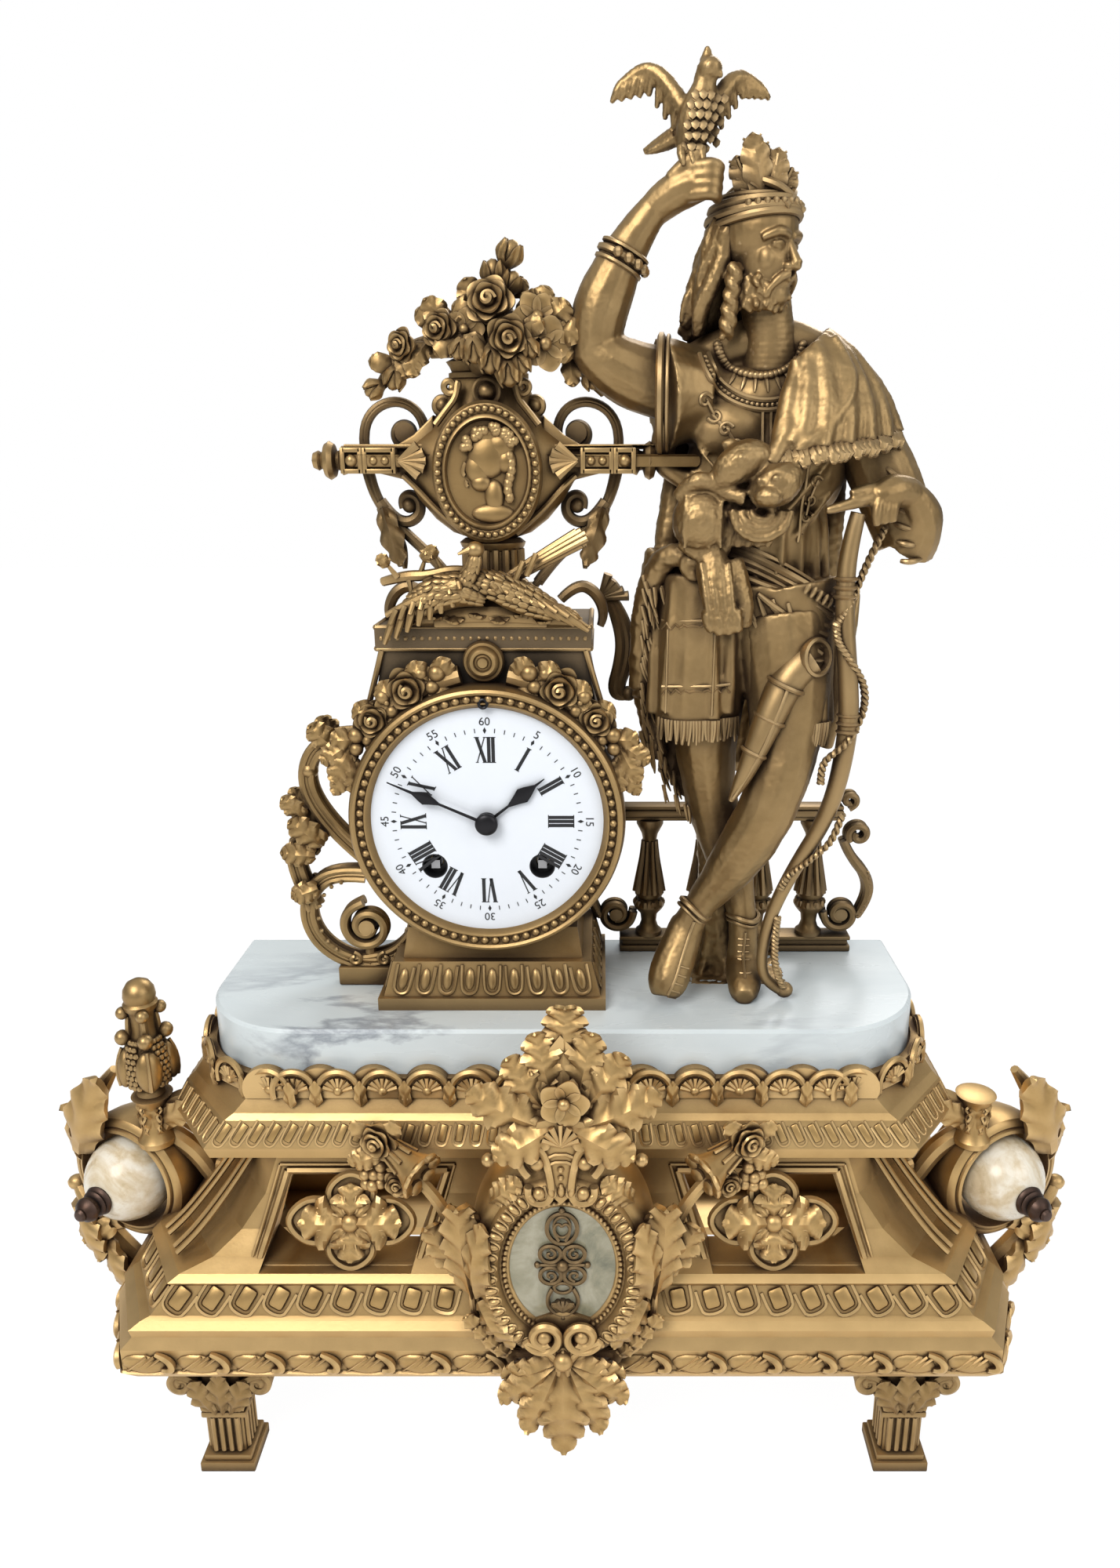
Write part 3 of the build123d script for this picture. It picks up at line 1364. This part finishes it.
def make_anchor():
    """Anchor, its arbor and the crutch whose fork embraces the pendulum rod."""
    level = escape_wheel_level
    arms = []
    drop = anchor_up - escape_up
    tip_low = escape_radius + 3 * loose_gap
    for side in (-1, 1):
        tip_x = side * anchor_span
        tip_y = math.sqrt(tip_low ** 2 - anchor_span ** 2) - drop + anchor_width
        outline = [
            (0, anchor_width), (tip_x + side * anchor_width, -drop / 4), (tip_x + side * anchor_width, tip_y),
            (tip_x, tip_y), (tip_x, -drop / 4 - anchor_width), (0, -anchor_width),
        ]
        arms.append(Pos(0, 0, level) * extrude(polygon(outline), anchor_thickness / 2))
    crutch_back = crutch_front - crutch_thickness
    shaft = disc(arbor_radius, arbor_back, arbor_front)
    shaft += disc(pivot_radius, crutch_back, arbor_front + plate_thickness)
    boss = disc(2 * arbor_radius, crutch_back, crutch_front)
    arm = Pos(0, -crutch_length / 2, crutch_front - crutch_thickness / 2) * Box(
        2 * arbor_radius, crutch_length, crutch_thickness)
    fork_x = rod_radius + crutch_fork_gap + arbor_radius
    foot = Pos(0, -crutch_length, crutch_front - crutch_thickness / 2) * Box(
        2 * fork_x + 2 * arbor_radius, 2 * arbor_radius, crutch_thickness)
    pieces = arms + [shaft, boss, arm, foot]
    for side in (-1, 1):
        pieces.append(disc(arbor_radius, pendulum_level - rod_radius, crutch_back, side * fork_x, -crutch_length))
    return clock_frame(Pos(0, anchor_up, 0) * fused(pieces))


def make_pendulum():
    """Pendulum: eye on the suspension pin, rod, lens-shaped bob and rating nut."""
    eye = disc(suspension_eye, pendulum_level - rod_radius, pendulum_level + rod_radius, 0, anchor_up)
    eye -= disc(suspension_pin + running_gap, pendulum_level - overrun, pendulum_level + overrun, 0, anchor_up)
    foot = anchor_up - rod_length - bob_radius
    stem = rod((0, anchor_up - suspension_eye + running_gap, pendulum_level),
               (0, foot - rating_nut, pendulum_level), rod_radius)
    edge = bob_half_thickness / 3
    lens = turned([
        (0, -bob_half_thickness), (bob_radius * 0.6, -bob_half_thickness * 0.8), (bob_radius, -edge),
        (bob_radius, edge), (bob_radius * 0.6, bob_half_thickness * 0.8), (0, bob_half_thickness),
    ])
    bob = Pos(0, anchor_up - rod_length, pendulum_level) * lens
    nut = Pos(0, foot - rating_nut / 2, pendulum_level) * Rot(90, 0, 0) * Cylinder(rating_nut, rating_nut)
    return clock_frame(fused([eye, stem, bob, nut]))


def make_bell():
    """Bell on its post behind the movement, mouth forward."""
    low = bell_mouth - bell_depth
    outer = [(0, low), (bell_radius * 0.55, low + bell_wall), (bell_radius * 0.88, low + 3 * bell_wall),
             (bell_radius, bell_mouth)]
    inner = [(bell_radius - bell_wall, bell_mouth), (bell_radius * 0.88 - bell_wall, low + 4 * bell_wall),
             (bell_radius * 0.5, low + 2 * bell_wall), (2 * bell_post, low + bell_wall), (0, low + bell_wall)]
    cup = turned(outer + inner)
    nut = disc(bell_nut, low - bell_wall, low + bell_wall / 2)
    return clock_frame(Pos(bell_x, -bell_down, 0) * (cup + nut))


def make_hammer():
    """Striking hammer that hangs beside the bell's rim."""
    boss = disc(hammer_boss, hammer_level - hammer_stem, hammer_level + hammer_boss)
    boss -= disc(suspension_pin + running_gap, hammer_level - overrun, hammer_level + overrun)
    drop = hammer_up + bell_down
    stem = rod((0, -hammer_boss + hammer_stem / 2, hammer_level), (0, -drop, hammer_level), hammer_stem)
    head = Pos(0, -drop, hammer_level) * Cylinder(hammer_head, hammer_head_length)
    return clock_frame(Pos(hammer_x, hammer_up, 0) * fused([boss, stem, head]))


def make_regulator():
    """Thin arbor from the hole above the dial back to the pendulum's cock."""
    back = back_plate_front - 2 * plate_thickness
    shaft = disc(regulator_radius, back, bezel_front * 0.6, 0, regulator_up)
    collar = disc(regulator_collar, front_plate_front + loose_gap, drum_front, 0, regulator_up)
    return clock_frame(shaft + collar)


def make_hand(length, pear, hub, bore, level, angle):
    """Pear hand: a stem, a round swell and a fine point."""
    swell_x = length * pear_place_share
    half = hand_stem_half
    outline = [(0, -half), (swell_x, -half), (swell_x + pear * 1.6, -half), (length, -half / 2),
               (length, half / 2), (swell_x + pear * 1.6, half), (swell_x, half), (0, half)]
    blade = polygon(outline) + Pos(swell_x, 0) * Circle(pear) + Circle(hub) - Circle(bore)
    blade += polygon([(swell_x + pear * 0.5, -pear * 0.86), (swell_x + pear * 2.2, 0),
                      (swell_x + pear * 0.5, pear * 0.86)])
    solid = Pos(0, 0, level) * extrude(blade, hand_thickness)
    return clock_frame(Rot(0, 0, 90 - angle) * solid)


def make_collet():
    """Domed black collet that pins the minute hand."""
    low = minute_hand_level + hand_thickness
    profile = [(0, low), (collet_radius, low), (collet_radius * 0.9, low + collet_height * 0.6),
               (collet_radius * 0.5, low + collet_height * 0.95), (0, low + collet_height)]
    return clock_frame(turned(profile) - disc(arbor_radius, low - overrun, low + collet_height / 2))


# Urn, flowers and game

urn_socle_z = clock_z + shoulder_top + cap_height
urn_foot_z = urn_socle_z + urn_socle_height + urn_column_height


def make_urn():
    """Socle, fluted column and flattened urn with two side arms."""
    pieces = [block(
        urn_x - urn_socle_half, urn_x + urn_socle_half, urn_y - urn_socle_depth, urn_y + urn_socle_depth,
        urn_socle_z, urn_socle_z + urn_socle_height)]
    pieces.append(rod((urn_x, urn_y, urn_socle_z + urn_socle_height), (urn_x, urn_y, urn_foot_z), urn_column_half))
    pieces.append(stacked([
        (urn_foot_z + urn_height * z, urn_x, urn_y, urn_half_width * a, urn_half_depth * b)
        for z, a, b in urn_level_shares
    ]))
    arm_z = urn_foot_z + urn_height * urn_arm_share
    pieces.append(block(
        urn_x - urn_arm_half, urn_x + urn_arm_half, urn_y - urn_arm_depth / 2, urn_y + urn_arm_depth / 2,
        arm_z - urn_arm_height / 2, arm_z + urn_arm_height / 2))
    for side in (-1, 1):
        inner = urn_x + side * urn_arm_half
        outer = inner + side * urn_knob_length
        pieces.append(rod((inner, urn_y, arm_z), (outer, urn_y, arm_z), urn_knob_radius))
        pieces.append(Pos(outer + side * urn_knob_tip / 2, urn_y, arm_z) * Sphere(urn_knob_tip))
    return fused(pieces)


def make_urn_frame(*neighbours):
    """Scrolls that run from the case up past the urn's arms."""
    pieces = []
    for side in (-1, 1):
        for run in frame_run_shares:
            points = [(urn_x + side * frame_half_span * a, frame_y, frame_foot_z + frame_height * b)
                      for a, b in run]
            pieces.append(limb(points, [frame_bar] * len(points)))
        shell_x = urn_x + side * frame_half_span * shell_share[0]
        shell_z = frame_foot_z + frame_height * shell_share[1]
        pieces.append(rod((shell_x, frame_y - frame_bar, shell_z), (shell_x, frame_y + frame_bar, shell_z),
                          shell_radius))
    shape = fused(pieces)
    for neighbour in neighbours:
        shape -= neighbour
    return Part() + [solid for solid in shape.solids() if solid.volume > frame_bar ** 3 * 20]


def make_medallion(urn):
    """Oval medallion with a raised rim and a plain profile head."""
    def oval(half_width, half_height, back, front):
        face = Plane.XZ * Pos(urn_x, medallion_z) * Ellipse(half_width, half_height)
        return Pos(0, back, 0) * extrude(face, back - front)

    back = urn_y
    face_y = urn_y - urn_half_depth - medallion_thickness / 2
    body = oval(medallion_half_width, medallion_half_height, back, face_y - medallion_rim_rise)
    body -= oval(medallion_half_width - medallion_rim, medallion_half_height - medallion_rim,
                 face_y, face_y - 2 * medallion_thickness)
    cameo = oval(cameo_half_width, cameo_half_height, back, face_y - medallion_rim_rise / 2)
    return body + cameo - urn


def make_bouquet(*neighbours):
    """Roses, leaves and two trailing strings of buds in the urn's mouth."""
    flowers = []
    for a, b, c, d in bouquet_flower_shares:
        place = (urn_x + bouquet_shift + bouquet_half_width * a, bouquet_y + bouquet_flower * c,
                 bouquet_foot_z + bouquet_height * b)
        head = turned(share_profile(bouquet_head_shares, bouquet_flower * d, bouquet_flower * d))
        flowers.append(Pos(*place) * Rot(90, 0, 0) * head)
    string = []
    for side in (-1, 1):
        points = [(urn_x + bouquet_shift + side * bouquet_half_width * a, bouquet_y,
                   bouquet_foot_z + bouquet_height * b) for a, b in bouquet_string_shares]
        string.append(limb(points, [bouquet_string] * len(points)))
    ends = [(urn_x + bouquet_shift + bouquet_half_width * a, bouquet_y, bouquet_foot_z + bouquet_height * b)
            for a, b in bouquet_stalk_shares]
    stalk = limb(ends, [1.5 * bouquet_string, bouquet_string])
    shape = fused(flowers + string + [stalk])
    for neighbour in neighbours:
        shape -= neighbour
    return largest(shape)


def game_slice(shares, back, front):
    """One flat outline of the game, made solid."""
    points = [(urn_x + game_half_width * a, urn_socle_z + game_height * b) for a, b in shares]
    return front_plate_shape(points, back, front)


def make_game(*neighbours):
    """Birds on a branch, piled on the cap before the urn's socle."""
    shape = fused([
        game_slice(game_pile_shares, game_back, game_front),
        game_slice(game_branch_shares, game_back - game_branch_inset, game_front + game_branch_inset),
        game_slice(game_bird_shares, game_front + game_branch_inset, game_bird_front),
    ])
    for neighbour in neighbours:
        shape -= neighbour
    return largest(shape)


def make_side_scroll(*neighbours):
    """Open scroll at the left of the drum, standing on its own block."""
    pieces = [block(
        side_x - side_foot_half, side_x + side_foot_half, side_y - side_foot_depth / 2,
        side_y + side_foot_depth / 2, slab_top, slab_top + side_foot_height)]
    for run in side_run_shares:
        points = [(side_x + side_half_width * a, side_y, slab_top + side_height * b) for a, b in run]
        pieces.append(limb(points, [side_bar] * len(points)))
    volute_x = side_x + side_half_width * side_volute_share[0]
    volute_z = slab_top + side_height * side_volute_share[1]
    pieces.append(rod((volute_x, side_y - side_bar, volute_z), (volute_x, side_y + side_bar, volute_z),
                      side_volute_radius))
    shape = fused(pieces)
    floor = block(-rim_half_end, rim_half_end, -half_depth, half_depth, 0, slab_top)
    shape -= floor
    for neighbour in neighbours:
        shape -= neighbour
    return largest(shape)


# Figure

figure_origin = (figure_x, figure_y, slab_top)


def figure_point(shares):
    """World place from shares of the figure's height."""
    return tuple(o + figure_height * s for o, s in zip(figure_origin, shares[:3]))


def below_slab():
    """Everything under the slab's top, to cut feet flat."""
    return block(-rim_half_end, rim_half_end, -half_depth, half_depth, 0, slab_top)


def make_figure_body():
    """Legs, tunic, cape and left arm of the standing figure, with the stump behind its legs."""
    pieces = [
        share_stack(body_level_shares, figure_height, figure_origin, ruled=True),
        share_stack(cape_level_shares, figure_height, figure_origin),
    ]
    for rows in (crossing_leg_shares, standing_leg_shares, left_arm_shares, stump_shares):
        pieces.append(share_limb(rows, figure_height, figure_origin))
    return fused(pieces) - below_slab()


def make_head(body):
    """Plain egg-shaped head with its gathered hair and a feather."""
    centre = figure_point(head_shares)
    radius = figure_height * head_radius_share
    skull = Pos(*centre) * scale(Sphere(radius), by=(1, 1, head_tall_share))
    knot = Pos(*figure_point(hair_knot_shares)) * Sphere(figure_height * hair_knot_shares[3])
    feather = share_limb(feather_shares, figure_height, figure_origin)
    return fused([skull, knot, feather]) - body


def make_right_arm(*neighbours):
    """Raised right arm and hand."""
    arm = share_limb(right_arm_shares, figure_height, figure_origin)
    for neighbour in neighbours:
        arm -= neighbour
    return largest(arm)


def make_bird(arm, head):
    """Hunting bird with spread wings, perched on the raised hand."""
    hand = figure_point(right_arm_shares[-1])
    centre = (hand[0], hand[1], hand[2] + bird_span * bird_lift_share)
    runs = [share_limb(run, bird_span, centre) for run in bird_run_shares]
    return largest(fused(runs) - arm - head)


def make_bow(*neighbours):
    """Bow that stands on the slab and is held at the chest."""
    points = [(bow_foot_x + bow_length * a, bow_foot_y + bow_length * b, slab_top + bow_length * c)
              for a, b, c in bow_shares]
    bow = limb(points, [bow_radius] * len(points)) - below_slab()
    for neighbour in neighbours:
        bow -= neighbour
    return largest(bow)


def make_balustrade():
    """Two rails with turned balusters and a scroll at each end."""
    half = rail_depth / 2
    rail_low = slab_top + rail_top - rail_thickness
    foot_top = slab_top + rail_foot_height
    pieces = [
        block(rail_left, rail_right, rail_y - half, rail_y + half, slab_top, foot_top),
        block(rail_left, rail_right, rail_y - half, rail_y + half, rail_low, slab_top + rail_top),
    ]
    pitch = (rail_right - rail_left) / baluster_count
    profile = share_profile(baluster_shares, baluster_radius, rail_low - foot_top)
    for index in range(baluster_count):
        pieces.append(Pos(rail_left + pitch * (index + 0.5), rail_y, foot_top) * turned(profile))
    for side, end in ((-1, rail_left), (1, rail_right)):
        reach = rail_scroll_reach if side > 0 else rail_scroll_reach / 2
        points = [(end + side * reach * a, rail_y, slab_top + rail_top * b) for a, b in rail_scroll_shares]
        pieces.append(limb(points, [rail_scroll_radius] * len(points)))
    return fused(pieces)


# Fasteners

def make_foot_studs():
    """Four studs with nuts that hold the feet to the casting's flange."""
    studs = []
    flange_top = foot_height + casting_flange
    for x, y in foot_places:
        stud = rod((x, y, foot_height - stud_depth), (x, y, flange_top + nut_height + stud_clearance), stud_radius)
        nut = Pos(x, y, flange_top) * extrude(RegularPolygon(nut_half, 6), nut_height)
        studs.append(stud + nut)
    return fused(studs)


def make_tie_rods():
    """Rods with nuts that draw the clock, figure and balustrade down on the slab."""
    ties = []
    plate_low = casting_top - casting_top_plate
    for x, y in tie_places:
        top = slab_top + tie_overlap if x < clock_x + plinth_half_width else slab_top
        tie = rod((x, y, plate_low - nut_height - stud_clearance), (x, y, top), tie_radius)
        nut = Pos(x, y, plate_low - nut_height) * extrude(RegularPolygon(nut_half, 6), nut_height)
        ties.append(tie + nut)
    return fused(ties)


def build():
    """Every node by name."""
    casting = make_base_casting()
    gallery = make_gallery()
    slab = make_slab()
    cartouche = make_cartouche(casting, gallery, slab)
    drum = make_drum()
    garland = make_garland() - drum
    plinth = make_plinth()
    urn = make_urn()
    urn_frame = make_urn_frame(urn, drum, garland)
    medallion = make_medallion(urn)
    bouquet = make_bouquet(urn, urn_frame, medallion)
    figure = make_figure_body()
    head = make_head(figure)
    arm = make_right_arm(figure, head, bouquet, urn, urn_frame)
    nodes = {
        "foot_front_left": make_foot(*foot_places[0]),
        "foot_front_right": make_foot(*foot_places[1]),
        "foot_rear_left": make_foot(*foot_places[2]),
        "foot_rear_right": make_foot(*foot_places[3]),
        "foot_studs": make_foot_studs(),
        "base_casting": casting,
        "window_rosettes": make_rosette(-1, casting) + make_rosette(1, casting),
        "gallery_rim": gallery,
        "marble_slab": slab,
        "slab_tie_rods": make_tie_rods(),
        "cartouche_frame": cartouche,
        "cartouche_plaque": make_plaque(),
        "cartouche_filigree": make_filigree(),
        "flower_spray_left": make_spray(-1, casting, gallery, cartouche, slab),
        "flower_spray_right": make_spray(1, casting, gallery, cartouche, slab),
        "stone_ball_left": make_ball(-1),
        "stone_ball_right": make_ball(1),
        "end_bracket_left": make_bracket(-1, casting, gallery, slab),
        "end_bracket_right": make_bracket(1, casting, gallery, slab),
        "ball_finials": make_ball_finial(-1) + make_ball_finial(1),
        "torch_finial": make_torch(),
        "clock_plinth": plinth,
        "drum_case": drum,
        "rear_door": make_door(),
        "bezel": make_bezel(),
        "enamel_dial": make_dial(),
        "garland_mount": garland,
        "minute_hand": make_hand(minute_hand_length, minute_pear_radius, collet_radius, cannon_radius,
                                 minute_hand_level, minute_hand_angle),
        "hour_hand": make_hand(hour_hand_length, hour_pear_radius, collet_radius, hour_pipe_radius,
                               hour_hand_level, hour_hand_angle),
        "hand_collet": make_collet(),
        "front_movement_plate": make_front_plate(),
        "back_movement_plate": make_back_plate(),
        "plate_pillars": make_pillars(),
        "going_barrel": make_barrel(barrel_place, heading(barrel_place, second_place)),
        "strike_barrel": make_barrel(strike_place, 0),
        "going_winding_arbor": make_winding_arbor(barrel_place),
        "strike_winding_arbor": make_winding_arbor(strike_place),
        "second_wheel": make_second_wheel(),
        "centre_arbor": make_centre_arbor(),
        "third_wheel": make_third_wheel(),
        "escape_wheel": make_escape_wheel(),
        "minute_wheel": make_minute_wheel(),
        "hour_wheel": make_hour_wheel(),
        "pallet_anchor": make_anchor(),
        "pendulum": make_pendulum(),
        "bell": make_bell(),
        "strike_hammer": make_hammer(),
        "regulator_arbor": make_regulator(),
        "urn_body": urn,
        "urn_scroll_frame": urn_frame,
        "urn_medallion": medallion,
        "urn_bouquet": bouquet,
        "game_trophy": make_game(urn, urn_frame, drum, garland),
        "side_scroll": make_side_scroll(drum, plinth, garland, drum_cylinder(drum_outer)),
        "figure_body": figure,
        "figure_head": head,
        "figure_right_arm": arm,
        "hunting_bird": make_bird(arm, head),
        "hunting_bow": make_bow(figure, arm),
        "balustrade": make_balustrade(),
    }
    return nodes


for name, shape in build().items():
    export_step(shape, f"parts/{name}.step")
